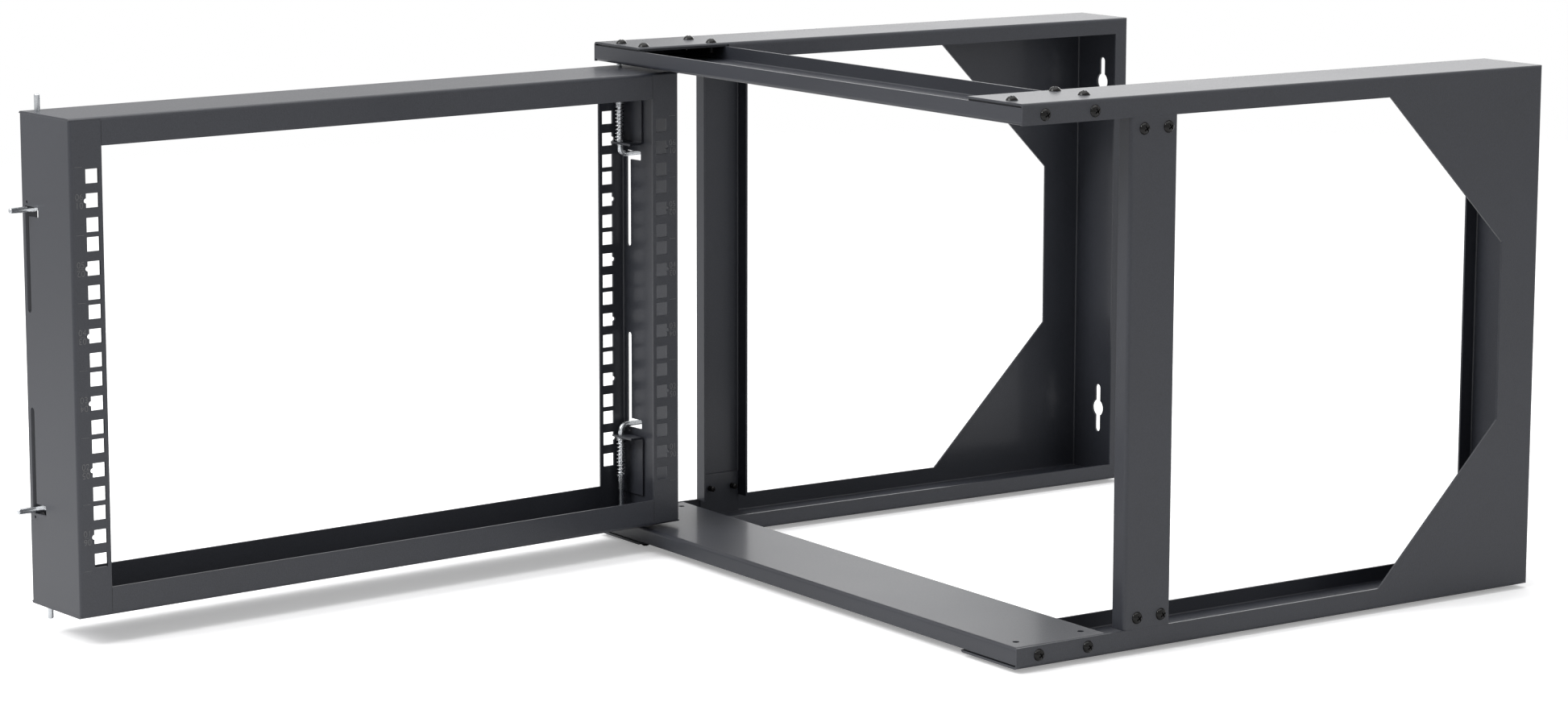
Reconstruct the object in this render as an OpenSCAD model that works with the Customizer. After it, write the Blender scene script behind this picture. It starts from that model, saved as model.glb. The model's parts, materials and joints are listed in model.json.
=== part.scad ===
// Wall mount open frame rack, 6U, with a swing-out gate.
// Two folded side frames stand off the wall and two tray-shaped crossbars join their front corners.
// A post stiffens each side, and a welded gate with the rack holes hangs on sprung pins at the left.
// Origin: on the wall plane, midway between the four keyholes. +Z up, the wall at y = 0, +X to the right.

/* [Frame] */
// Depth from the wall to the front edge
frame_d = 450; // [380:5:700]
// Gap between the shut gate and a side frame's web
side_gap = 5; // [3:0.5:10]
// Gap between the gate and a crossbar
lift_gap = 3; // [1.5:0.5:5]
// Thickness of the frame's sheet
sheet = 1.5; // [1.2:0.1:2]
// Outer radius of every fold
fold_r = 2.5; // [2.2:0.1:3.5]
// Height of the thin rails along a side frame's top and bottom
rail_h = 14; // [13:0.5:16]
// Width of the strip at a side frame's rear
rear_strip = 34; // [28:1:50]
// Length of the 45 degree gussets along each edge
gusset = 106; // [60:1:120]
// Width of the inward flanges along the top, bottom and rear
flange_w = 60; // [54:1:70]
// Height of the return lip along the inner edge of each flange
lip_h = 12; // [8:0.5:16]
// Gap between a crossbar and the front end of the lips
lip_gap = 2; // [1:0.5:10]

/* [Wall keyholes] */
// Distance of the keyholes from a side frame's top and bottom
keyhole_end = 52; // [35:1:80]
// Distance of the keyholes from a side frame's outer face
keyhole_inset = 31; // [28:1:34]
// Diameter of the round middle that passes a bolt head
keyhole_d = 13; // [11:0.5:15]
// Width of the slot above and below the round
keyhole_slot_w = 6; // [5:0.5:7]
// Overall length of the slot
keyhole_slot_l = 38; // [30:1:50]

/* [Crossbars] */
// Depth of the trays that join the side frames
crossbar_d = 76; // [72:1:84]
// Gap between a tray's long edges and the level of its end tabs
edge_gap = 1.2; // [0.5:0.1:2]
// Gap between an end tab and the tray's long folds
tab_gap = 0.3; // [0.2:0.1:1]
// Distance between the end of a tab and the edge of the flange over it
tab_short = 1; // [0.5:0.5:3]
// Distance of a top flange's outer screws from the side frame's face
screw_outer = 23; // [21:0.5:25]
// Distance of a top flange's inner screws from the side frame's face
screw_inner = 53; // [42:0.5:54]
// Distance of the flange screws from the crossbar's front and rear
screw_edge = 9; // [8:0.5:11]
// Distance of the side screws from the crossbar's front and rear
side_screw_edge = 18; // [15:0.5:22]

/* [Posts] */
// Gap between a crossbar and the post behind it
post_gap = 11.5; // [2:0.5:30]
// Width of a post's web
post_w = 39; // [34:1:60]
// Depth of a post's folded edges
post_flange = 12; // [9:0.5:16]
// Height of the screws from a post's ends
post_screw_h = 7.5; // [7:0.5:16]
// Distance of the screws from a post's front edge
post_screw_a = 11; // [10:0.5:12]
// Distance between a post's two screws
post_screw_pitch = 20; // [14:0.5:22]
// Length of the screw plates welded inside the side frames
plate_h = 31; // [31:1:45]

/* [Screws] */
// Thread diameter of all screws
screw_d = 4; // [3.5:0.5:5]
// Length of all screws under the head
screw_l = 8; // [6:0.5:9]
// Diameter of the domed head
head_d = 8.2; // [7.6:0.1:9.5]
// Height of the domed head
head_h = 2.9; // [2.5:0.1:3.6]
// Taper of a screw's point
point = 0.6; // [0.4:0.1:1]
// Radial play of a screw in its holes
screw_play = 0.1; // [0.05:0.05:0.2]

/* [Gate] */
// Number of rack units
units = 6; // [6:1:15]
// Height of one rack unit
unit_h = 44.45; // [44.45:0.01:55]
// Height of the lowest hole above its unit's lower end
hole_first = 6.35; // [5.5:0.01:7.5]
// Distance between the three holes of a unit
hole_pitch = 15.875; // [12:0.005:17]
// Distance between the two columns of rack holes
columns_w = 465.1; // [400:0.1:600]
// Width of a square rack hole
hole_w = 9.5; // [9:0.1:9.6]
// Distance of a column of holes from the gate's side
column_margin = 15.95; // [14.5:0.05:16.5]
// Height of the gate above and below its rack units
end_margin = 31.65; // [25:0.05:60]
// Distance of the shut gate's face from the frame's front edge
gate_set_back = 3.5; // [3:0.5:6]
// Depth of the gate's channels
gate_d = 66; // [60:1:67]
// Width of an upright's flanges
upright_flange = 23.5; // [22.5:0.5:26]
// Height of the gate rails' flanges
gate_rail_h = 18.8; // [14:0.2:24]
// Radius of the notch that marks the middle hole of each unit
notch_r = 1.6; // [1:0.1:2]
// Angle by which the gate stands open
open_angle = 85; // [0:1:180]

/* [Spring pins] */
// Diameter of a pin
pin_d = 4; // [3:0.5:4.5]
// Distance of a pin from the outer face of its upright
pin_in = 9.5; // [9:0.5:11]
// Distance of a pin from the gate's front face
pin_back = 8; // [7.5:0.5:10]
// Length that a pin reaches past a crossbar's floor
pin_reach = 6.5; // [4:0.5:8]
// Radial play of a pin in a crossbar
pin_play = 0.3; // [0.1:0.05:0.5]
// Radial play of a pin in its own guides
guide_play = 0.1; // [0.05:0.05:0.3]
// Distance of the bent handle's axis from the guide bracket's eye
handle_drop = 7.5; // [7:0.5:10]
// Inner radius of the handle's bend
handle_bend = 3; // [2:0.5:3.5]
// Length of the handle outside its upright
handle_out = 13; // [8:0.5:16]
// Diameter of the collar on a pin
collar_d = 5; // [4.8:0.1:6]
// Length of that collar
collar_l = 10; // [6:0.5:11]
// Wire diameter of a spring
spring_wire = 1; // [0.8:0.1:1.1]
// Inner diameter of a spring
spring_inner_d = 4.5; // [4.3:0.1:5]
// Length of a spring with its pin out
spring_l = 28; // [26:0.5:30]
// Number of turns of a spring
spring_turns = 11; // [9:1:12]
// Diameter of the washer under a spring
washer_d = 7; // [6.6:0.1:8]
// Thickness of that washer
washer_t = 0.8; // [0.5:0.1:1.2]

/* [L-slots and brackets] */
// Width of the slot that a handle runs in
slot_w = 4.8; // [4.6:0.1:5.4]
// Length of the slot
slot_l = 71; // [40:1:80]
// Height of the slot's side leg
leg_h = 6.7; // [5:0.1:8]
// Distance of the leg's end from the gate's front face
leg_end = 22.7; // [18:0.1:30]
// Height from the gate's end to a guide bracket's eye
eye_h = 57; // [54:0.5:58]
// Width of a guide bracket along the upright's web
bracket_w = 23; // [18:0.5:30]
// Length of a guide bracket along the upright
bracket_l = 44; // [30:0.5:46]
// Width of the eye plate out from the web
eye_w = 12; // [11:0.5:14]
// Diameter of the locating hole between slot and eye
dot_d = 2; // [1:0.1:2.2]
// Play between a handle and the end of its slot
slot_play = 0.4; // [0.2:0.1:0.8]

/* [Hidden] */
$fn = 48;

coat = [0.2, 0.2, 0.21];
coat_gate = [0.24, 0.24, 0.25];
black = [0.08, 0.08, 0.08];
zinc = [0.78, 0.79, 0.8];

gate_w = columns_w + 2 * column_margin;
gate_h = units * unit_h + 2 * end_margin;
frame_w = gate_w + 2 * (side_gap + sheet);
frame_h = gate_h + 2 * (lift_gap + rail_h);
half_w = frame_w / 2;
half_h = frame_h / 2;
keyhole_z = half_h - keyhole_end;
front = -frame_d;
inner_x = half_w - flange_w;
// Cutters run this far past open ends, and this far past a sheet that has parts behind it
over = 5;
bite = 1;
// Inner radius of every fold
fold_in = fold_r - sheet;

crossbar_l = frame_w - 2 * sheet;
crossbar_rear = front + crossbar_d;
// The crossbar's end tab turns in under the side frame's flange
tab_l = flange_w - sheet - tab_short;

post_front = crossbar_rear + post_gap;
post_l = frame_h - 2 * rail_h;
post_screw_z = post_l / 2 - post_screw_h;

screw_r = screw_d / 2 + screw_play;
flange_screws_x = [screw_outer, screw_inner];
flange_screws_y = [front + screw_edge, crossbar_rear - screw_edge];
side_screws_y = [front + side_screw_edge, crossbar_rear - side_screw_edge];
side_screws_z = half_h - (rail_h + sheet) / 2;
post_screws_y = [post_front + post_screw_a, post_front + post_screw_a + post_screw_pitch];

half_gate = gate_w / 2;
half_gate_h = gate_h / 2;
gate_front = front + gate_set_back;
gate_back = gate_front + gate_d;
pin_x = half_gate - pin_in;
pin_y = gate_front + pin_back;
// Heights of the three holes within a rack unit
unit_holes = [hole_first, hole_first + hole_pitch, hole_first + 2 * hole_pitch];

pin_r = pin_d / 2;
bend_r = handle_bend + pin_r;
eye_z = half_gate_h - eye_h;
handle_z = eye_z - handle_drop;
tip_z = half_gate_h + lift_gap + sheet + pin_reach;
spring_z = eye_z + sheet;
washer_z = spring_z + spring_l;
collar_z = washer_z + washer_t;
slot_end = handle_z + pin_r + slot_play;
dot_z = (slot_end + eye_z) / 2;

// Flat rectangle between two corners, with every corner rounded
module rounded(x0, y0, x1, y1, r) {
    translate([x0 + r, y0]) square([x1 - x0 - 2 * r, y1 - y0]);
    translate([x0, y0 + r]) square([x1 - x0, y1 - y0 - 2 * r]);
    for (x = [x0 + r, x1 - r], y = [y0 + r, y1 - r]) translate([x, y]) circle(r);
}

// Solid box between two corners
module block(low, high) {
    translate(low) cube(high - low);
}

// Extrusions of a flat outline along Y and along X, between two places
module along_y(y0, y1) {
    translate([0, y1, 0]) rotate([90, 0, 0]) linear_extrude(y1 - y0) children();
}

module along_x(x0, x1) {
    translate([x0, 0, 0]) rotate([90, 0, 90]) linear_extrude(x1 - x0) children();
}

// Cylinder about X or Z between two places
module bore_x(x0, x1, y, z, r) {
    translate([x0, y, z]) rotate([0, 90, 0]) cylinder(r = r, h = x1 - x0);
}

module bore_z(x, y, z0, z1, r) {
    translate([x, y, z0]) cylinder(r = r, h = z1 - z0);
}

// Mirrors its children for the left (-1) or keeps them for the right (+1)
module at_side(side) {
    if (side < 0) mirror([1, 0, 0]) children();
    else children();
}

// Mirrors its children for the bottom (-1) or keeps them for the top (+1)
module at_level(level) {
    if (level < 0) mirror([0, 0, 1]) children();
    else children();
}

// Body of a side frame, with its outline moved in by a wall
module side_body(wall, r) {
    intersection() {
        along_y(front - over, -wall)
            rounded(inner_x + wall, -half_h + wall, half_w - wall, half_h - wall, r);
        translate([0, 0, -half_h])
            linear_extrude(frame_h)
                rounded(inner_x + wall, front - 2 * over, half_w - wall, -wall, r);
    }
}

// Opening of a side frame's web: square at the front, with a gusset at the top and bottom of the rear
module web_opening() {
    top = half_h - rail_h;
    rear = -rear_strip;
    along_x(half_w - sheet - bite, half_w + over)
        polygon([
            [front - over, -top], [rear - gusset, -top], [rear, -top + gusset],
            [rear, top - gusset], [rear - gusset, top], [front - over, top]
        ]);
}

// Double-ended keyhole through the rear flange
module keyhole(z) {
    x = half_w - keyhole_inset;
    end = (keyhole_slot_l - keyhole_slot_w) / 2;
    along_y(-sheet - over, over) {
        translate([x, z]) circle(d = keyhole_d);
        translate([x - keyhole_slot_w / 2, z - end]) square([keyhole_slot_w, 2 * end]);
        for (e = [-end, end]) translate([x, z + e]) circle(d = keyhole_slot_w);
    }
}

// Right side frame: one folded sheet with flanges at the top, bottom and rear, each with a return lip,
// and two screw plates welded inside for the post
module side_frame(missing = []) {
    color(coat)
    difference() {
        union() {
            difference() {
                side_body(0, fold_r);
                side_body(sheet, fold_in);
                block([inner_x - over, front - 3 * over, -half_h + lip_h],
                      [inner_x + sheet + bite, -lip_h, half_h - lip_h]);
                for (level = [-1, 1]) at_level(level)
                    block([inner_x - over, front - over, 0],
                          [inner_x + fold_r, crossbar_rear + lip_gap, half_h - sheet]);
                web_opening();
            }
            for (level = [-1, 1]) at_level(level)
                block([half_w - 2 * sheet, post_front + fold_r, half_h - sheet - plate_h],
                      [half_w - sheet, post_front + post_w - fold_r, half_h - sheet]);
        }
        block([inner_x - over, front - 4 * over, -frame_h], [half_w + over, front, frame_h]);
        for (z = [-keyhole_z, keyhole_z]) keyhole(z);
        for (level = [-1, 1]) at_level(level) {
            for (a = flange_screws_x, y = flange_screws_y)
                if (level < 0 || len([for (m = missing) if (m == [a, y]) m]) == 0)
                    bore_z(half_w - a, y, half_h - sheet - bite, half_h + bite, screw_r);
            for (y = side_screws_y) bore_x(half_w - sheet - bite, half_w + bite, y, side_screws_z, screw_r);
            for (y = post_screws_y) bore_x(half_w - 3 * sheet, half_w, y, post_screw_z, screw_r);
        }
    }
}

// The front inner screw of the right top flange isn't fitted
bare_place = [[screw_inner, front + screw_edge]];

module side_frame_left() at_side(-1) side_frame();
module side_frame_right() side_frame(bare_place);

// Body of the top crossbar, with its outline moved in by a wall
module tray_body(wall, r) {
    half_l = crossbar_l / 2 - wall;
    floor_z = half_h - rail_h + wall;
    top = half_h - sheet - wall;
    intersection() {
        along_y(front, crossbar_rear) rounded(-half_l, floor_z, half_l, top, r);
        along_x(-half_l, half_l) rounded(front + wall, floor_z, crossbar_rear - wall, top + 3 * over, r);
    }
}

// Top crossbar: a tray with its folds upward, end tabs turned in under the side frames' flanges,
// and a pin hole in each corner of its floor
module crossbar(missing = []) {
    top = half_h - sheet;
    floor_z = half_h - rail_h;
    half_l = crossbar_l / 2;
    color(coat)
    difference() {
        tray_body(0, fold_r);
        tray_body(sheet, fold_in);
        block([-half_l + tab_l, front + sheet, floor_z + rail_h / 2],
              [half_l - tab_l, crossbar_rear - sheet, top + over]);
        block([-half_l - over, front - over, top - edge_gap],
              [half_l + over, front + sheet + tab_gap, top + over]);
        block([-half_l - over, crossbar_rear - sheet - tab_gap, top - edge_gap],
              [half_l + over, crossbar_rear + over, top + over]);
        for (y = [front + sheet, crossbar_rear - sheet - tab_gap])
            block([-half_l + fold_r, y, top - 2 * sheet], [half_l - fold_r, y + tab_gap, top + over]);
        for (side = [-1, 1]) at_side(side) {
            for (a = flange_screws_x, y = flange_screws_y)
                if (side < 0 || len([for (m = missing) if (m == [a, y]) m]) == 0)
                    bore_z(half_w - a, y, top - sheet - bite, top + bite, screw_r);
            for (y = side_screws_y) bore_x(half_l - sheet - bite, half_l + bite, y, side_screws_z, screw_r);
            for (y = [pin_y, front + crossbar_rear - pin_y])
                bore_z(pin_x, y, floor_z - bite, floor_z + sheet + bite, pin_r + pin_play);
        }
    }
}

module crossbar_top() crossbar(bare_place);
module crossbar_bottom() at_level(-1) crossbar();

// Right post: a channel flush with the side frame's web, between its top and bottom rails
module post() {
    color(coat)
    difference() {
        translate([0, 0, -post_l / 2])
            linear_extrude(post_l)
                difference() {
                    rounded(half_w - 2 * post_flange, post_front, half_w, post_front + post_w, fold_r);
                    rounded(half_w - 3 * post_flange, post_front + sheet,
                            half_w - sheet, post_front + post_w - sheet, fold_in);
                    translate([half_w - 4 * post_flange, post_front - over])
                        square([3 * post_flange, post_w + 2 * over]);
                }
        for (y = post_screws_y, z = [-post_screw_z, post_screw_z])
            bore_x(half_w - sheet - bite, half_w + bite, y, z, screw_r);
    }
}

module post_left() at_side(-1) post();
module post_right() post();

// Pan head screw that points down from z = 0, with a cross recess
module screw() {
    dome_r = (head_h * head_h + head_d * head_d / 4) / (2 * head_h);
    recess_w = head_d / 9;
    recess_l = head_d * 0.5;
    color(black)
    difference() {
        union() {
            intersection() {
                translate([0, 0, head_h - dome_r]) sphere(dome_r);
                cylinder(d = head_d, h = head_h + bite);
            }
            translate([0, 0, -screw_l + point]) cylinder(d = screw_d, h = screw_l);
            translate([0, 0, -screw_l]) cylinder(d1 = screw_d - 2 * point, d2 = screw_d, h = point);
        }
        for (turn = [0, 90]) rotate([0, 0, turn + 35])
            translate([-recess_l / 2, -recess_w / 2, head_h * 0.4]) cube([recess_l, recess_w, head_h]);
    }
}

// Screws down through a right top flange
module flange_screws(missing = []) {
    for (a = flange_screws_x, y = flange_screws_y)
        if (len([for (m = missing) if (m == [a, y]) m]) == 0)
            translate([half_w - a, y, half_h]) screw();
}

// Screws through the right web into the crossbars' ends
module side_screws() {
    for (y = side_screws_y, z = [-side_screws_z, side_screws_z])
        translate([half_w, y, z]) rotate([0, 90, 0]) screw();
}

// Screws through the right post into the plates behind it
module post_screws() {
    for (y = post_screws_y, z = [-post_screw_z, post_screw_z])
        translate([half_w, y, z]) rotate([0, 90, 0]) screw();
}

module screws_top_left() at_side(-1) flange_screws();
module screws_top_right() flange_screws(bare_place);
module screws_bottom_left() at_side(-1) at_level(-1) flange_screws();
module screws_bottom_right() at_level(-1) flange_screws();
module screws_side_left() at_side(-1) side_screws();
module screws_side_right() side_screws();
module screws_post_left() at_side(-1) post_screws();
module screws_post_right() post_screws();

// The gate is drawn shut and turned open about its left pins
module hung() {
    translate([-pin_x, pin_y, 0]) rotate([0, 0, -open_angle]) translate([pin_x, -pin_y, 0]) children();
}

// Places a part drawn at the right end of the shut gate at the hinge (-1) or the free end (+1)
module in_gate(side) hung() at_side(side) children();

// L-shaped slot in the right upright's web for a handle at the top
module l_slot() {
    y = pin_y;
    inner_end = slot_end - slot_l;
    along_x(half_gate - sheet - bite, half_gate + bite) {
        translate([y - slot_w / 2, inner_end + slot_w / 2]) square([slot_w, slot_l - slot_w / 2]);
        translate([y, inner_end + slot_w / 2]) circle(d = slot_w);
        rounded(y - slot_w / 2, slot_end - leg_h, gate_front + leg_end, slot_end, 1);
    }
}

// Right upright: a channel with square rack holes in both flanges and two L-slots in its web
module gate_upright() {
    length = gate_h - 2 * sheet;
    hole_x = columns_w / 2;
    color(coat_gate)
    difference() {
        translate([0, 0, -length / 2])
            linear_extrude(length)
                difference() {
                    rounded(half_gate - 2 * upright_flange, gate_front, half_gate, gate_back, fold_r);
                    rounded(half_gate - 3 * upright_flange, gate_front + sheet,
                            half_gate - sheet, gate_back - sheet, fold_in);
                    translate([half_gate - 4 * upright_flange, gate_front - over])
                        square([3 * upright_flange, gate_d + 2 * over]);
                }
        for (unit = [0:units - 1]) {
            foot = (unit - units / 2) * unit_h;
            for (h = unit_holes)
                block([hole_x - hole_w / 2, gate_front - bite, foot + h - hole_w / 2],
                      [hole_x + hole_w / 2, gate_back + bite, foot + h + hole_w / 2]);
            along_y(gate_front - bite, gate_back + bite)
                translate([hole_x + hole_w / 2, foot + unit_holes[1]]) circle(notch_r);
        }
        for (level = [-1, 1]) at_level(level) {
            l_slot();
            bore_x(half_gate - sheet - bite, half_gate + bite, pin_y, dot_z, dot_d / 2);
        }
    }
}

// Top rail: a channel between the uprights whose floor runs over their ends
module gate_rail() {
    clear_x = half_gate - upright_flange;
    flange_z = half_gate_h - gate_rail_h;
    color(coat_gate)
    difference() {
        intersection() {
            along_x(-half_gate, half_gate)
                difference() {
                    rounded(gate_front, half_gate_h - 2 * gate_rail_h, gate_back, half_gate_h, fold_r);
                    rounded(gate_front + sheet, half_gate_h - 3 * gate_rail_h,
                            gate_back - sheet, half_gate_h - sheet, fold_in);
                }
            union() {
                block([-clear_x, gate_front - bite, flange_z], [clear_x, gate_back + bite, half_gate_h]);
                block([-half_gate, gate_front - bite, half_gate_h - sheet],
                      [half_gate, gate_back + bite, half_gate_h]);
            }
        }
        for (x = [-pin_x, pin_x])
            bore_z(x, pin_y, half_gate_h - sheet - bite, half_gate_h + bite, pin_r + guide_play);
    }
}

module gate_upright_hinge() in_gate(-1) gate_upright();
module gate_upright_free() in_gate(1) gate_upright();
module gate_rail_top() hung() gate_rail();
module gate_rail_bottom() hung() at_level(-1) gate_rail();

// Guide bracket at the right top: a plate on the upright's web, folded in to an eye for the pin
module guide_bracket() {
    web_x = half_gate - sheet;
    y0 = gate_front + sheet + fold_in;
    plate_x = web_x - sheet;
    color(coat_gate)
    difference() {
        intersection() {
            along_y(y0, y0 + bracket_w)
                difference() {
                    rounded(web_x - 2 * eye_w, eye_z, web_x, eye_z + 2 * bracket_l, fold_r);
                    rounded(web_x - 3 * eye_w, eye_z + sheet, plate_x, eye_z + 3 * bracket_l, fold_in);
                }
            block([web_x - eye_w, y0 - bite, eye_z - bite],
                  [web_x + bite, y0 + bracket_w + bite, eye_z + bracket_l]);
        }
        bore_z(pin_x, pin_y, eye_z - bite, eye_z + sheet + bite, pin_r + guide_play);
    }
}

// Latch pin at the right top: a rod with a collar, bent out through the slot as a handle
module latch_pin() {
    bevel = 0.6;
    bend_z = handle_z + bend_r;
    color(zinc)
    translate([pin_x, pin_y, 0]) {
        translate([0, 0, bend_z]) cylinder(r = pin_r, h = tip_z - bevel - bend_z);
        translate([0, 0, tip_z - bevel]) cylinder(r1 = pin_r, r2 = pin_r - bevel, h = bevel);
        translate([0, 0, collar_z]) cylinder(d = collar_d, h = collar_l);
        translate([bend_r, 0, bend_z]) rotate([90, 0, 0]) rotate([0, 0, 180])
            rotate_extrude(angle = 90) translate([bend_r, 0]) circle(pin_r);
        translate([bend_r, 0, handle_z]) rotate([0, 90, 0])
            cylinder(r = pin_r, h = pin_in + handle_out - bend_r - bevel);
        translate([pin_in + handle_out - bevel, 0, handle_z]) rotate([0, 90, 0])
            cylinder(r1 = pin_r, r2 = pin_r - bevel, h = bevel);
    }
}

// Washer between a spring and the pin's collar
module pin_washer() {
    color(zinc)
    translate([pin_x, pin_y, washer_z])
        difference() {
            cylinder(d = washer_d, h = washer_t);
            translate([0, 0, -bite]) cylinder(r = pin_r + guide_play, h = washer_t + 2 * bite);
        }
}

// Coil spring between the bracket's eye and the washer, with its end turns closed
module pin_spring() {
    sides = 6;
    steps = 11;
    rings = spring_turns * steps;
    coil_r = (spring_inner_d + spring_wire) / 2;
    wire_r = spring_wire / 2;
    // Height of the wire's centre after a number of turns: the first and last turn lie close
    function lift(turn) =
        let (closed = spring_wire * 1.02, rest = spring_l - spring_wire - 2 * closed)
        turn < 1 ? closed * turn :
        turn > spring_turns - 1 ? spring_l - spring_wire - closed * (spring_turns - turn) :
        closed + rest * (turn - 1) / (spring_turns - 2);
    points = [
        for (i = [0:rings], s = [0:sides - 1])
            let (turn = i / steps, a = 360 * turn, b = 360 * s / sides, r = coil_r + wire_r * cos(b))
            [r * cos(a), r * sin(a), wire_r + lift(turn) + wire_r * sin(b)]
    ];
    sides_faces = [
        for (i = [0:rings - 1], s = [0:sides - 1])
            let (a = i * sides + s, b = i * sides + (s + 1) % sides)
            [a, b, b + sides, a + sides]
    ];
    start_face = [[for (s = [sides - 1:-1:0]) s]];
    end_face = [[for (s = [0:sides - 1]) rings * sides + s]];
    color(zinc)
    translate([pin_x, pin_y, spring_z])
        polyhedron(points, concat(sides_faces, start_face, end_face), convexity = 10);
}

// Places a part drawn at the right top of the shut gate at one of its four corners
module at_corner(side, level) in_gate(side) at_level(level) children();

side_frame_left();
side_frame_right();
crossbar_top();
crossbar_bottom();
post_left();
post_right();
screws_top_left();
screws_top_right();
screws_bottom_left();
screws_bottom_right();
screws_side_left();
screws_side_right();
screws_post_left();
screws_post_right();
gate_upright_hinge();
gate_upright_free();
gate_rail_top();
gate_rail_bottom();
at_corner(-1, 1) guide_bracket();  // guide_bracket_hinge_top
at_corner(-1, -1) guide_bracket();  // guide_bracket_hinge_bottom
at_corner(1, 1) guide_bracket();  // guide_bracket_free_top
at_corner(1, -1) guide_bracket();  // guide_bracket_free_bottom
at_corner(-1, 1) latch_pin();  // latch_pin_hinge_top
at_corner(-1, -1) latch_pin();  // latch_pin_hinge_bottom
at_corner(1, 1) latch_pin();  // latch_pin_free_top
at_corner(1, -1) latch_pin();  // latch_pin_free_bottom
at_corner(-1, 1) pin_washer();  // pin_washer_hinge_top
at_corner(-1, -1) pin_washer();  // pin_washer_hinge_bottom
at_corner(1, 1) pin_washer();  // pin_washer_free_top
at_corner(1, -1) pin_washer();  // pin_washer_free_bottom
at_corner(-1, 1) pin_spring();  // pin_spring_hinge_top
at_corner(-1, -1) pin_spring();  // pin_spring_hinge_bottom
at_corner(1, 1) pin_spring();  // pin_spring_free_top
at_corner(1, -1) pin_spring();  // pin_spring_free_bottom
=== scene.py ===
import json
from math import radians, tau

import bmesh
import bpy
from mathutils import Matrix, Vector


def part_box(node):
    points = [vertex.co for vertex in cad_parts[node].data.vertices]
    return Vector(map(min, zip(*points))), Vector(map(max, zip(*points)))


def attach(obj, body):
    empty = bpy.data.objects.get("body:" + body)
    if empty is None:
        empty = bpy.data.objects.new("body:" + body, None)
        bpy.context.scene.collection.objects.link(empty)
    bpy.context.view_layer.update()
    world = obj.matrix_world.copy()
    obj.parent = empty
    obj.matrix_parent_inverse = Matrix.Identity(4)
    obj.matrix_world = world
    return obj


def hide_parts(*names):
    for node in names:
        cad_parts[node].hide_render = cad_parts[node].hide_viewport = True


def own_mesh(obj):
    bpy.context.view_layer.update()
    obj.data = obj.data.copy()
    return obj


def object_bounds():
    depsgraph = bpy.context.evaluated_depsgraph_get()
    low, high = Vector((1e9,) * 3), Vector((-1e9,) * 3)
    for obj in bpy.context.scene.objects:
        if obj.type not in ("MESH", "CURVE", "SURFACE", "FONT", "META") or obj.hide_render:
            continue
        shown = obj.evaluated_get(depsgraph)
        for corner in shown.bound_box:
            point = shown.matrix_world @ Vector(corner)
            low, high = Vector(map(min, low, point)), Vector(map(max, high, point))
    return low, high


# The rack's solids, at rest. Every length in this script is in metres, as theirs are.
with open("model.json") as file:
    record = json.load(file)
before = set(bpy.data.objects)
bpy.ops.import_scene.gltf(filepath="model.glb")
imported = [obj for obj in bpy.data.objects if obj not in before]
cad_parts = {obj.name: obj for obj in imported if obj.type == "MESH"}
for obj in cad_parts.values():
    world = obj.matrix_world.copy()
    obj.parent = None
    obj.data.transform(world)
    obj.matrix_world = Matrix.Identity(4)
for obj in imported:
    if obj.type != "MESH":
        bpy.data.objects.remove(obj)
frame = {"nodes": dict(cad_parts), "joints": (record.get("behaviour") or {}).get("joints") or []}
cad_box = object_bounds()


# The view: a long lens at the front right of the rack, a little above it, as the photograph has it.
# The lens and its shift come from the photograph's focal length and optical axis, in its own pixels.
image_width, image_height = 1946, 891
focal_length = 5078
optical_axis_x, optical_axis_y = 913, 385.5
camera_place = Vector((2.277, -2.0136, 0.4576))
camera_turn = radians(56.32)
camera_dip = radians(9.057)
farthest_seen = 50

camera = bpy.data.objects.new("camera", bpy.data.cameras.new("camera"))
bpy.context.scene.collection.objects.link(camera)
camera.location = camera_place
camera.rotation_euler = (radians(90) - camera_dip, 0, camera_turn)
camera.data.lens = camera.data.sensor_width * focal_length / image_width
camera.data.shift_x = (image_width / 2 - optical_axis_x) / image_width
camera.data.shift_y = (optical_axis_y - image_height / 2) / image_width
camera.data.clip_end = farthest_seen
bpy.context.scene.camera = camera
bpy.context.scene.view_settings.view_transform = "Standard"


# Materials are written as sums on their sockets. A Socket is one output of a node in a material,
# and arithmetic on it adds the Math nodes.
class Socket:
    def __init__(self, tree, output=None):
        self.tree = tree
        self.output = output

    def node(self, kind, settings=None, inputs=None, output=0):
        """Adds a node of any kind, with its settings made first, and returns one of its outputs."""
        made = self.tree.nodes.new(kind)
        for name, value in (settings or {}).items():
            setattr(made, name, value)
        for name, value in (inputs or {}).items():
            self.feed(made.inputs[name], value)
        return Socket(self.tree, made.outputs[output])

    def feed(self, socket, value):
        """Links an input to a Socket, or sets it to a plain value."""
        if isinstance(value, Socket):
            self.tree.links.new(value.output, socket)
        else:
            socket.default_value = value

    def math(self, operation, first, second):
        return self.node("ShaderNodeMath", {"operation": operation}, {0: first, 1: second})

    def blend(self, low, high):
        """A colour between two, by this value. The node's colour sockets are known by number."""
        mix_a, mix_b, mix_result = 6, 7, 2
        return self.node("ShaderNodeMix", {"data_type": "RGBA"},
                         {0: self, mix_a: low, mix_b: high}, mix_result)

    def __add__(self, other):
        return self.math("ADD", self, other)

    def __sub__(self, other):
        return self.math("SUBTRACT", self, other)

    def __rsub__(self, other):
        return self.math("SUBTRACT", other, self)

    def __mul__(self, other):
        return self.math("MULTIPLY", self, other)

    __radd__ = __add__
    __rmul__ = __mul__


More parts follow.
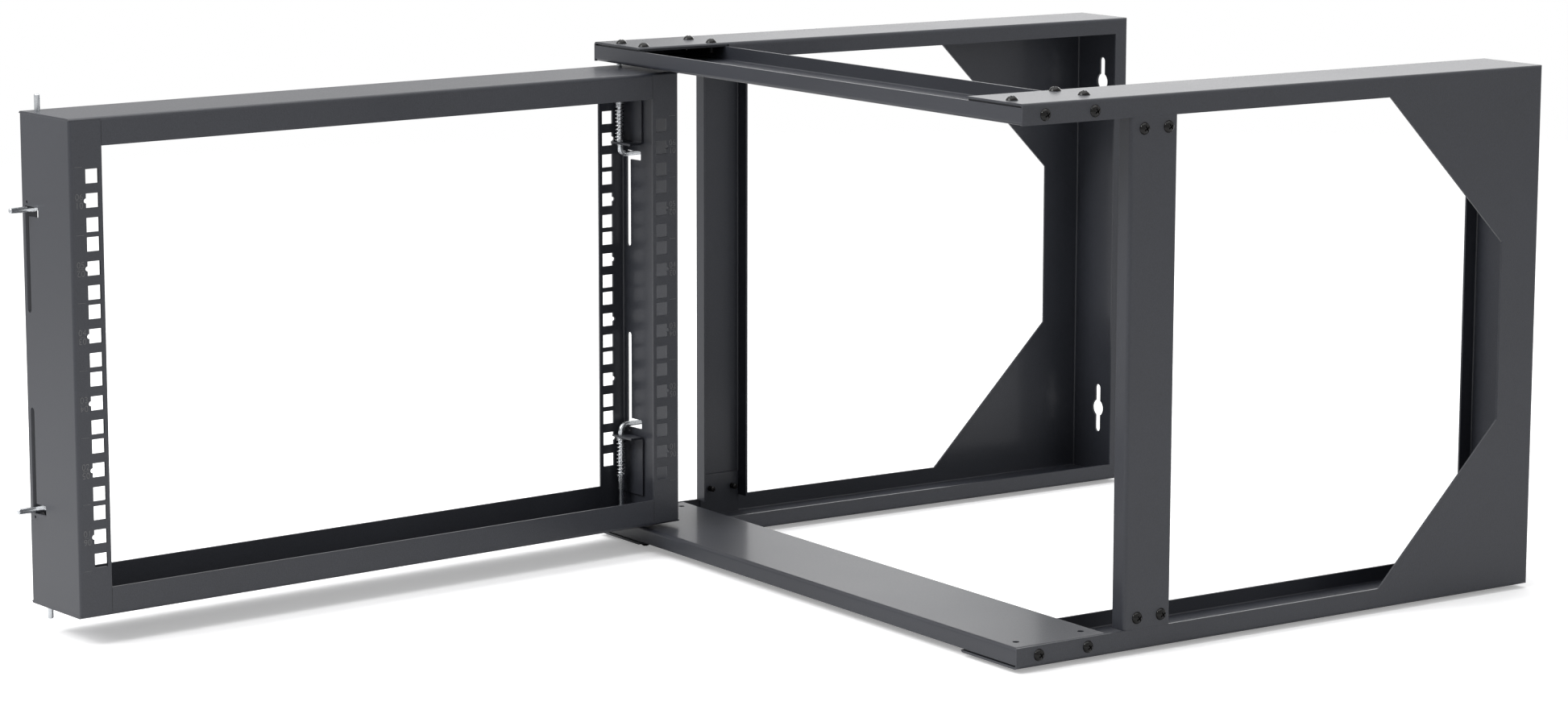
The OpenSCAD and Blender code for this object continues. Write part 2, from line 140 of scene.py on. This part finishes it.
# The studio: a pale floor that fades into a white surround, a wide softbox overhead, a key light at
# the front left, a weaker one at the right, a screen behind that the level faces mirror, and a small
# bare lamp whose glint shows on folds, screws and pins.
floor_drop = 0.0002
floor_radius = 6
floor_sides = 96
floor_centre = Vector((0, -0.4, cad_box[0].z - floor_drop))
fade_start, fade_length = 1.1, 1.5
white = (1, 1, 1, 1)
floor_colour = (0.9, 0.9, 0.905, 1)
floor_lift = 0.3
ambient = 0.45
mirrored_extra = 0.35
lamp_target = Vector((0, -0.45, 0))


def bare_nodes(owner):
    """Clears the nodes of a material or a world, and returns a Socket to build them from."""
    owner.use_nodes = True
    owner.node_tree.nodes.clear()
    return Socket(owner.node_tree)


def add_piece(name, shape, material):
    """Makes an object of a bmesh, in one material, and puts it in the scene."""
    data = bpy.data.meshes.new(name)
    shape.to_mesh(data)
    shape.free()
    data.materials.append(material)
    piece = bpy.data.objects.new(name, data)
    bpy.context.scene.collection.objects.link(piece)
    return piece


floor_coat = bpy.data.materials.new("floor")
studio = bare_nodes(floor_coat)
place = studio.node("ShaderNodeTexCoord", output="Object")
away = studio.node("ShaderNodeVectorMath", {"operation": "LENGTH"}, {0: place}, "Value")
fade = studio.node("ShaderNodeClamp", None, {"Value": (away - fade_start) * (1 / fade_length)})
rays = studio.node("ShaderNodeLightPath", output="Is Camera Ray")
matt = studio.node("ShaderNodeBsdfDiffuse", None, {"Color": floor_colour})
lift = studio.node("ShaderNodeEmission", None, {"Color": white, "Strength": rays * floor_lift})
lit = studio.node("ShaderNodeAddShader", None, {0: matt, 1: lift})
clear = studio.node("ShaderNodeBsdfTransparent")
shown = studio.node("ShaderNodeMixShader", None, {0: fade, 1: lit, 2: clear})
out = floor_coat.node_tree.nodes.new("ShaderNodeOutputMaterial")
studio.feed(out.inputs["Surface"], shown)

floor_shape = bmesh.new()
bmesh.ops.create_circle(floor_shape, cap_ends=True, segments=floor_sides, radius=floor_radius)
bmesh.ops.translate(floor_shape, verts=floor_shape.verts, vec=floor_centre)
floor = add_piece("floor", floor_shape, floor_coat)

surround = bpy.data.worlds.new("surround")
bpy.context.scene.world = surround
studio = bare_nodes(surround)
seen = studio.node("ShaderNodeLightPath", output="Is Camera Ray")
mirrored = studio.node("ShaderNodeLightPath", output="Is Glossy Ray")
level = ambient + seen * (1 - ambient) + mirrored * mirrored_extra
glow = studio.node("ShaderNodeBackground", None, {"Color": white, "Strength": level})
out = surround.node_tree.nodes.new("ShaderNodeOutputWorld")
studio.feed(out.inputs["Surface"], glow)

for name, spot, size, power in (
    ("softbox_top", Vector((-0.3, -0.5, 2.6)), 3.2, 60),
    ("key_front", Vector((-1.0, -3.4, 2.6)), 2.6, 125),
    ("fill_right", Vector((4.0, 0.6, 1.6)), 2.4, 26),
    ("screen_back", Vector((-2.6, 2.9, 1.2)), 3.2, 44),
    ("glint", Vector((0.6, -3.2, 2.4)), 0.2, 14),
):
    lamp = bpy.data.objects.new(name, bpy.data.lights.new(name, "AREA"))
    bpy.context.scene.collection.objects.link(lamp)
    lamp.data.size = size
    lamp.data.energy = power
    lamp.location = spot
    lamp.rotation_mode = "QUATERNION"
    lamp.rotation_quaternion = (lamp_target - spot).to_track_quat("-Z", "Y")


# The folded sheets: frame, crossbars and posts. Cold-rolled steel, folded and then powder coated in
# dark grey with a fine, dry texture. The coat rounds the cut edges a little.
frame_dark = (0.0138, 0.0153, 0.0205, 1)
frame_light = (0.0235, 0.026, 0.0345, 1)
frame_roughness = 0.5
grain_scale, grain_detail = 1100, 3
grain_strength, grain_depth = 0.5, 0.00014
cloud_scale, cloud_detail = 9, 2
grain_tone, cloud_tone, coat_tone_shift = 1.6, 0.9, 0.75
grain_dulling, cloud_dulling = 0.16, 0.08
coat_edge = 0.0005
edge_samples = 6
coat_specular = 0.42
coat_gloss, coat_gloss_roughness = 0.2, 0.16


def new_material(name):
    """Makes a material, and returns it with its shader and a Socket to build from."""
    material = bpy.data.materials.new(name)
    material.use_nodes = True
    return material, material.node_tree.nodes["Principled BSDF"], Socket(material.node_tree)


def powder_coat(name, dark, light, roughness):
    """A coat whose tone and gloss vary by a fine grain and a faint cloud, round a mean roughness."""
    material, shader, coat = new_material(name)
    place = coat.node("ShaderNodeTexCoord", output="Object")
    grain = coat.node("ShaderNodeTexNoise", None,
                      {"Vector": place, "Scale": grain_scale, "Detail": grain_detail})
    cloud = coat.node("ShaderNodeTexNoise", None,
                      {"Vector": place, "Scale": cloud_scale, "Detail": cloud_detail})
    tone = coat.node("ShaderNodeClamp", None,
                     {"Value": grain * grain_tone + cloud * cloud_tone - coat_tone_shift})
    coat.feed(shader.inputs["Base Color"], tone.blend(dark, light))
    least_roughness = roughness - (grain_dulling + cloud_dulling) / 2
    coat.feed(shader.inputs["Roughness"], grain * grain_dulling + cloud * cloud_dulling + least_roughness)
    edge = coat.node("ShaderNodeBevel", {"samples": edge_samples}, {"Radius": coat_edge})
    relief = coat.node("ShaderNodeBump", None, {"Strength": grain_strength, "Distance": grain_depth,
                                                "Height": grain, "Normal": edge})
    coat.feed(shader.inputs["Normal"], relief)
    shader.inputs["Specular IOR Level"].default_value = coat_specular
    shader.inputs["Coat Weight"].default_value = coat_gloss
    shader.inputs["Coat Roughness"].default_value = coat_gloss_roughness
    return material


def dress(names, material):
    """Gives the named pieces of the frame one material."""
    for name in names:
        data = frame["nodes"][name].data
        data.materials.clear()
        data.materials.append(material)


frame_coat = powder_coat("frame_coat", frame_dark, frame_light, frame_roughness)
dress(("side_frame_left", "side_frame_right", "crossbar_top", "crossbar_bottom", "post_left", "post_right"),
      frame_coat)


# The gate: two uprights and two rails in the same coat, a shade lighter, with the guide brackets
# welded inside the uprights before coating.
gate_dark = (0.0165, 0.018, 0.0235, 1)
gate_light = (0.0275, 0.030, 0.0385, 1)
gate_roughness = 0.46

sides = ("hinge", "free")
levels = ("top", "bottom")
corners = [f"{side}_{level}" for side in sides for level in levels]

gate_coat = powder_coat("gate_coat", gate_dark, gate_light, gate_roughness)
dress(["gate_upright_hinge", "gate_upright_free", "gate_rail_top", "gate_rail_bottom"]
      + [f"guide_bracket_{corner}" for corner in corners], gate_coat)


# Rack unit marks on the gate's rear face, in a lighter tone: each unit has its number counted from
# below, a short line, and its number counted from above, upside down, with a tick at the unit's ends.
# They stand a hair proud of the face. Their places are worked out on the shut gate.
unit = 0.04445
units = 6
mark_inset = 0.0061
digit_height = 0.0044
text_size_per_height = 1.38
digit_gap = 0.0008
curve_steps = 4
line_length = 0.0046
line_width = 0.0003
tick_length = 0.0056
mark_rise = 0.00006
mark_dark = (0.07, 0.071, 0.074, 1)
mark_light = (0.1, 0.101, 0.105, 1)
mark_roughness = 0.4

# From a place on the shut gate to that place on the gate at rest, which stands open
swing = next(joint for joint in frame["joints"] if joint["name"] == "gate_swing")
hinge_pin = Vector(swing["pos_m"])
gate_open = -radians(swing["range_deg"][1])
hang = Matrix.Translation(hinge_pin) @ Matrix.Rotation(gate_open, 4, "Z") @ Matrix.Translation(-hinge_pin)


def shut_box(name):
    """The low and the high corner of a gate piece's box, with the gate shut."""
    spots = [hang.inverted() @ vertex.co for vertex in frame["nodes"][name].data.vertices]
    low = Vector([min(spot[axis] for spot in spots) for axis in range(3)])
    high = Vector([max(spot[axis] for spot in spots) for axis in range(3)])
    return low, high


def digits(words, turned):
    """A mesh of two digits: they stand just above its origin or, turned, hang just below it."""
    curve = bpy.data.curves.new("digits", "FONT")
    curve.body = words
    curve.size = digit_height * text_size_per_height
    curve.extrude = mark_rise
    curve.align_x = "CENTER"
    curve.resolution_u = curve_steps
    lettering = bpy.data.objects.new("digits", curve)
    bpy.context.scene.collection.objects.link(lettering)
    bpy.context.view_layer.update()
    data = bpy.data.meshes.new_from_object(lettering.evaluated_get(bpy.context.evaluated_depsgraph_get()))
    bpy.data.objects.remove(lettering)
    bpy.data.curves.remove(curve)
    data.transform(Matrix.Translation((0, digit_gap, 0)))
    if turned:
        data.transform(Matrix.Rotation(radians(180), 4, "Z"))
    return data


def bar(length):
    """A mesh of a thin line along X, centred at its origin."""
    shape = bmesh.new()
    bmesh.ops.create_cube(shape, size=1, matrix=Matrix.Diagonal((length, line_width, 2 * mark_rise, 1)))
    data = bpy.data.meshes.new("bar")
    shape.to_mesh(data)
    shape.free()
    return data


rail_low, rail_high = shut_box("gate_rail_top")
gate_half = rail_high.x
gate_front, gate_back = rail_low.y, rail_high.y

mark_coat = powder_coat("mark_coat", mark_dark, mark_light, mark_roughness)

# From a mark's own plane to the shut gate's rear face: its X runs to -X, and its Y runs up
to_face = Matrix(((-1, 0, 0, 0), (0, 0, 1, gate_back), (0, 1, 0, 0), (0, 0, 0, 1)))
for side, across in (("hinge", -1), ("free", 1)):
    marks = bmesh.new()
    for row in range(units + 1):
        foot = (row - units / 2) * unit
        pieces = [(bar(tick_length), foot)]
        if row < units:
            centre = foot + unit / 2
            pieces.append((digits(f"{row + 1:02d}", False), centre))
            pieces.append((digits(f"{units - row:02d}", True), centre))
            pieces.append((bar(line_length), centre))
        for data, height in pieces:
            data.transform(to_face)
            data.transform(Matrix.Translation((across * (gate_half - mark_inset), 0, height)))
            marks.from_mesh(data)
            bpy.data.meshes.remove(data)
    bmesh.ops.transform(marks, matrix=hang, verts=marks.verts)
    piece = add_piece(f"unit_marks_{side}", marks, mark_coat)
    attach(piece, "gate")


# Seams: a hairline of painted shade where the gate's rails butt against its uprights, at each corner of the
# front and rear face, from the rail's edge to its fold. Each stands as proud as the unit marks.
seam_width = 0.00022
edge_margin = 0.0001
fold_radius = 0.0025
# The hairline's two colours are painted shade, standing in for the shade in the gap between rail and
# upright.
seam_shade_dark = (0.003, 0.0035, 0.0045, 1)
seam_shade_light = (0.006, 0.0068, 0.0085, 1)
seam_roughness = 0.6

upright_low = shut_box("gate_upright_free")[0]
seam_low = rail_low.z + edge_margin
seam_high = rail_high.z - fold_radius

painted_seam_shade = powder_coat("painted_seam_shade", seam_shade_dark, seam_shade_light, seam_roughness)
seam_shade_bars = bmesh.new()
for across in (-1, 1):
    for up in (-1, 1):
        for face in (gate_front, gate_back):
            middle = Vector((across * upright_low.x, face, up * (seam_low + seam_high) / 2))
            size = Matrix.Diagonal((seam_width, 2 * mark_rise, seam_high - seam_low, 1))
            bmesh.ops.create_cube(seam_shade_bars, size=1, matrix=hang @ Matrix.Translation(middle) @ size)
# The dark bars are painted shade, laid over the joints of the gate's rails and uprights.
piece = add_piece("gate_seam_shade", seam_shade_bars, painted_seam_shade)
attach(piece, "gate")


# Screws: pan heads with a cross recess, of steel in glossy black. They hold the frame together through
# its flanges, its side webs and the posts' ends.
screw_dark = (0.002, 0.002, 0.002, 1)
screw_light = (0.006, 0.0055, 0.005, 1)
screw_least_roughness = 0.08
screw_specular = 0.25
screw_edge = 0.0003
smudge_scale, smudge_detail = 400, 2
smudge_dulling = 0.14

screw_black, shader, paint = new_material("screw_black")
place = paint.node("ShaderNodeTexCoord", output="Object")
smudge = paint.node("ShaderNodeTexNoise", None,
                    {"Vector": place, "Scale": smudge_scale, "Detail": smudge_detail})
paint.feed(shader.inputs["Base Color"], smudge.blend(screw_dark, screw_light))
paint.feed(shader.inputs["Roughness"], smudge * smudge_dulling + screw_least_roughness)
shader.inputs["Specular IOR Level"].default_value = screw_specular
rounded = paint.node("ShaderNodeBevel", {"samples": edge_samples}, {"Radius": screw_edge})
paint.feed(shader.inputs["Normal"], rounded)
dress([name for name in frame["nodes"] if name.startswith("screws_")], screw_black)


# Latch pins and their washers: drawn steel rod, bent for a handle, and flat washers, all in bright
# zinc plate. The sheen has fine streaks along the rod.
zinc_dark = (0.42, 0.44, 0.46, 1)
zinc_light = (0.72, 0.74, 0.76, 1)
zinc_roughness = 0.27
streak_squeeze = (1, 1, 0.12)
streak_scale, streak_detail = 1600, 2
streak_strength, streak_depth = 0.2, 0.00005
bloom_scale, bloom_detail = 220, 3
streak_tone, bloom_tone, zinc_tone_shift = 0.7, 0.8, 0.25
bloom_dulling = 0.18


def zinc_plate(name, dark, light, roughness):
    """Bright plate with streaks along Z and a soft bloom, round a mean roughness."""
    material, shader, plate = new_material(name)
    place = plate.node("ShaderNodeTexCoord", output="Object")
    stretched = plate.node("ShaderNodeMapping", None, {"Vector": place, "Scale": streak_squeeze})
    streak = plate.node("ShaderNodeTexNoise", None,
                        {"Vector": stretched, "Scale": streak_scale, "Detail": streak_detail})
    bloom = plate.node("ShaderNodeTexNoise", None,
                       {"Vector": place, "Scale": bloom_scale, "Detail": bloom_detail})
    tone = plate.node("ShaderNodeClamp", None,
                      {"Value": streak * streak_tone + bloom * bloom_tone - zinc_tone_shift})
    plate.feed(shader.inputs["Base Color"], tone.blend(dark, light))
    plate.feed(shader.inputs["Roughness"], bloom * bloom_dulling + (roughness - bloom_dulling / 2))
    relief = plate.node("ShaderNodeBump", None,
                        {"Strength": streak_strength, "Distance": streak_depth, "Height": streak})
    plate.feed(shader.inputs["Normal"], relief)
    shader.inputs["Metallic"].default_value = 1
    return material


zinc = zinc_plate("zinc", zinc_dark, zinc_light, zinc_roughness)
dress([f"latch_pin_{corner}" for corner in corners] + [f"pin_washer_{corner}" for corner in corners], zinc)


# Springs: bright wire coiled round the pins between the guide bracket's eye and the washer. The end
# turns lie closed.
wire_radius = 0.0005
wire_sides = 12
coil_radius = 0.00275
coil_turns = 11
turn_steps = 24
closed_pitch = 1.02
closed_turn = 2 * wire_radius * closed_pitch
wire_dark = (0.5, 0.51, 0.53, 1)
wire_light = (0.82, 0.83, 0.85, 1)
wire_roughness = 0.2

spring_wire = zinc_plate("spring_wire", wire_dark, wire_light, wire_roughness)

for corner in corners:
    node = f"pin_spring_{corner}"
    low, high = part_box(node)
    length = high.z - low.z
    open_turn = (length - 2 * wire_radius - 2 * closed_turn) / (coil_turns - 2)
    coil = bmesh.new()
    profile = bmesh.ops.create_circle(
        coil, segments=wire_sides, radius=wire_radius,
        matrix=Matrix.Translation((coil_radius, 0, wire_radius)) @ Matrix.Rotation(radians(90), 4, "X"))
    last = profile["verts"] + list(coil.edges)
    for turns, rise in ((1, closed_turn), (coil_turns - 2, open_turn), (1, closed_turn)):
        spun = bmesh.ops.spin(coil, geom=last, cent=(0, 0, 0), axis=(0, 0, 1),
                              dvec=(0, 0, rise / turn_steps), angle=tau * turns, steps=turns * turn_steps)
        last = spun["geom_last"]
    bmesh.ops.holes_fill(coil, edges=[edge for edge in coil.edges if edge.is_boundary])
    bmesh.ops.recalc_face_normals(coil, faces=coil.faces)
    if corner.endswith("bottom"):
        bmesh.ops.transform(coil, matrix=Matrix.Rotation(radians(180), 4, "X"), verts=coil.verts)
        anchor = high.z
    else:
        anchor = low.z
    middle = (low + high) / 2
    bmesh.ops.translate(coil, verts=coil.verts, vec=(middle.x, middle.y, anchor))
    for face in coil.faces:
        face.smooth = True
    piece = add_piece(f"spring_coil_{corner}", coil, spring_wire)
    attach(piece, "gate")
    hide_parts(node)
    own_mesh(piece)
